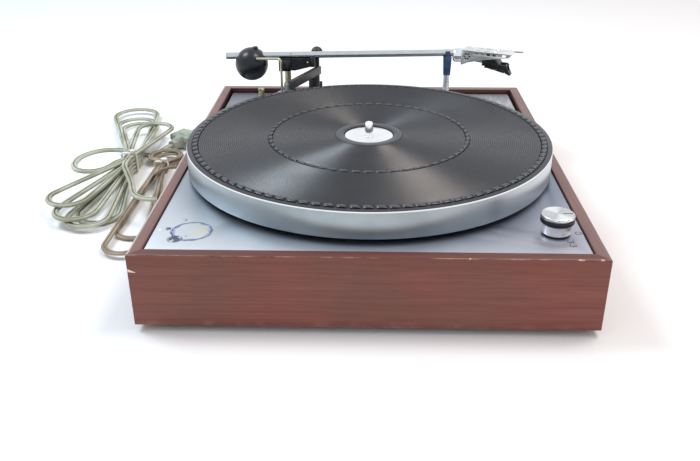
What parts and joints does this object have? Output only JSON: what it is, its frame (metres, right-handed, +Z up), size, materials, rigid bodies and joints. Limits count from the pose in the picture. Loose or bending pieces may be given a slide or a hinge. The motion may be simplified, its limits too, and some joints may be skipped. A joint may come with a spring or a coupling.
{
  "type": "turntable",
  "caption": "Belt-driven record player: wooden plinth, sprung sub-chassis, heavy platter with ribbed mat, pick-up arm with ball weight, speed knob and hanked flexes",
  "frame": {"origin": "on the table, under the middle of the plinth, at the feet's lower faces", "axes": "+Z up, +X to the deck's right as its user faces it (pick-up arm side), +Y to its rear, where the flexes leave"},
  "size_m": [0.4731, 0.4699, 0.111],
  "materials": {
    "walnut_veneer": "satin",
    "softwood": "raw",
    "hardboard": "raw",
    "zinc_steel": "satin",
    "foot_rubber": "matt",
    "mat_rubber": "matt",
    "plate_metal": "brushed",
    "motor_case": "satin",
    "cast_metal": "turned",
    "bright_metal": "polished",
    "brass_parts": "satin",
    "black_metal": "gloss",
    "black_plastic": "satin",
    "white_plastic": "satin",
    "chipboard": "raw",
    "blue_plastic": "satin",
    "mains_flex": "satin",
    "signal_flex": "satin",
    "plug_plastic": "satin"
  },
  "bodies": {
    "plinth": {"side_board_left": "walnut_veneer", "side_board_right": "walnut_veneer", "front_board": "walnut_veneer", "rear_board": "walnut_veneer", "frame_blocks": "softwood", "base_panel": "hardboard", "plinth_screws": "zinc_steel", "feet": "foot_rubber", "top_plate": "plate_metal", "motor": "motor_case", "drive_belt": "foot_rubber", "plate_bushes": "black_plastic", "hanger_bolts": "zinc_steel", "hanger_springs": "zinc_steel", "power_switch": "white_plastic", "mains_gland": "mains_flex", "signal_gland": "mains_flex", "mains_cord": "mains_flex", "mains_hank": "mains_flex", "mains_plug": "plug_plastic", "signal_cord": "signal_flex", "signal_hank": "signal_flex", "phono_plugs": "black_plastic", "cord_ties": "white_plastic"},
    "pulley": {"motor_pulley": "brass_parts"},
    "knob": {"knob_skirt": "cast_metal", "knob_band": "foot_rubber", "knob_cap": "cast_metal"},
    "fork": {"belt_fork": "black_plastic"},
    "suspended": {"subchassis": "zinc_steel", "bearing_housing": "cast_metal", "armboard": "chipboard", "armboard_skin": "plate_metal", "arm_base": "cast_metal", "arm_pillar": "brass_parts", "bias_rod": "brass_parts", "brass_post": "brass_parts", "rest_post": "bright_metal", "rest_cradle": "blue_plastic", "rest_clip": "blue_plastic", "lift_cylinder": "black_plastic"},
    "turning": {"spindle_shaft": "bright_metal", "sub_platter": "cast_metal", "platter": "cast_metal", "centre_hub": "bright_metal", "platter_mat": "mat_rubber"},
    "yoke": {"arm_yoke": "black_metal", "pivot_screws": "zinc_steel"},
    "arm": {"arm_block": "black_plastic", "arm_tube": "bright_metal", "rear_stub": "bright_metal", "shell_collar": "bright_metal", "headshell": "cast_metal", "finger_lift": "cast_metal", "cartridge": "black_plastic", "stylus": "black_plastic"},
    "guard": {"stylus_guard": "black_plastic"},
    "weight": {"counterweight": "black_metal"},
    "lever": {"lift_lever": "black_plastic"},
    "lift": {"lift_bar": "black_plastic"}
  },
  "joints": [
    {"name": "suspension", "type": "slide", "parent": "plinth", "child": "suspended", "axis": [0, 0, 1], "range_m": [-0.002, 0.003], "stiffness_N_per_m": 8000, "springref_m": 0.00339, "deforming": ["hanger_springs"]},
    {"name": "platter_spin", "type": "hinge", "parent": "suspended", "child": "turning", "pos_m": [-0.0236, 0, 0.07], "axis": [0, 0, -1], "continuous": true},
    {"name": "pulley_spin", "type": "hinge", "parent": "plinth", "child": "pulley", "pos_m": [-0.115, 0.07, 0.065], "axis": [0, 0, -1], "continuous": true},
    {"name": "knob_turn", "type": "hinge", "parent": "plinth", "child": "knob", "pos_m": [-0.1533, -0.1316, 0.065], "axis": [0, 0, 1], "range_deg": [-65, 65]},
    {"name": "fork_slide", "type": "slide", "parent": "plinth", "child": "fork", "axis": [0, 0, 1], "range_m": [-0.0028, 0.0028]},
    {"name": "arm_swing", "type": "hinge", "parent": "suspended", "child": "yoke", "pos_m": [0.165, 0.086, 0.088], "axis": [0, 0, -1], "range_deg": [0, 47], "deforming": ["rest_clip"]},
    {"name": "arm_raise", "type": "hinge", "parent": "yoke", "child": "arm", "pos_m": [0.165, 0.086, 0.093], "axis": [-1, 0, 0], "range_deg": [0, 12]},
    {"name": "guard_flip", "type": "hinge", "parent": "arm", "child": "guard", "pos_m": [0.14749, -0.13824, 0.0965], "axis": [-0.9205, 0.3907, 0], "range_deg": [0, 60]},
    {"name": "weight_slide", "type": "slide", "parent": "arm", "child": "weight", "axis": [0, 0.9998, -0.0185], "range_m": [-0.008, 0.008]},
    {"name": "lift_turn", "type": "hinge", "parent": "suspended", "child": "lever", "pos_m": [0.176, 0.056, 0.066], "axis": [1, 0, 0], "range_deg": [0, 40]},
    {"name": "lift_slide", "type": "slide", "parent": "suspended", "child": "lift", "axis": [0, 0, 1], "range_m": [-0.005, 0]}
  ],
  "couplings": [
    {"joint": "pulley_spin", "follows": "platter_spin", "ratio": 11.255},
    {"joint": "fork_slide", "follows": "knob_turn", "m_per_rad": -0.00238},
    {"joint": "lift_turn", "follows": "lift_slide", "rad_per_m": -139.6}
  ]
}
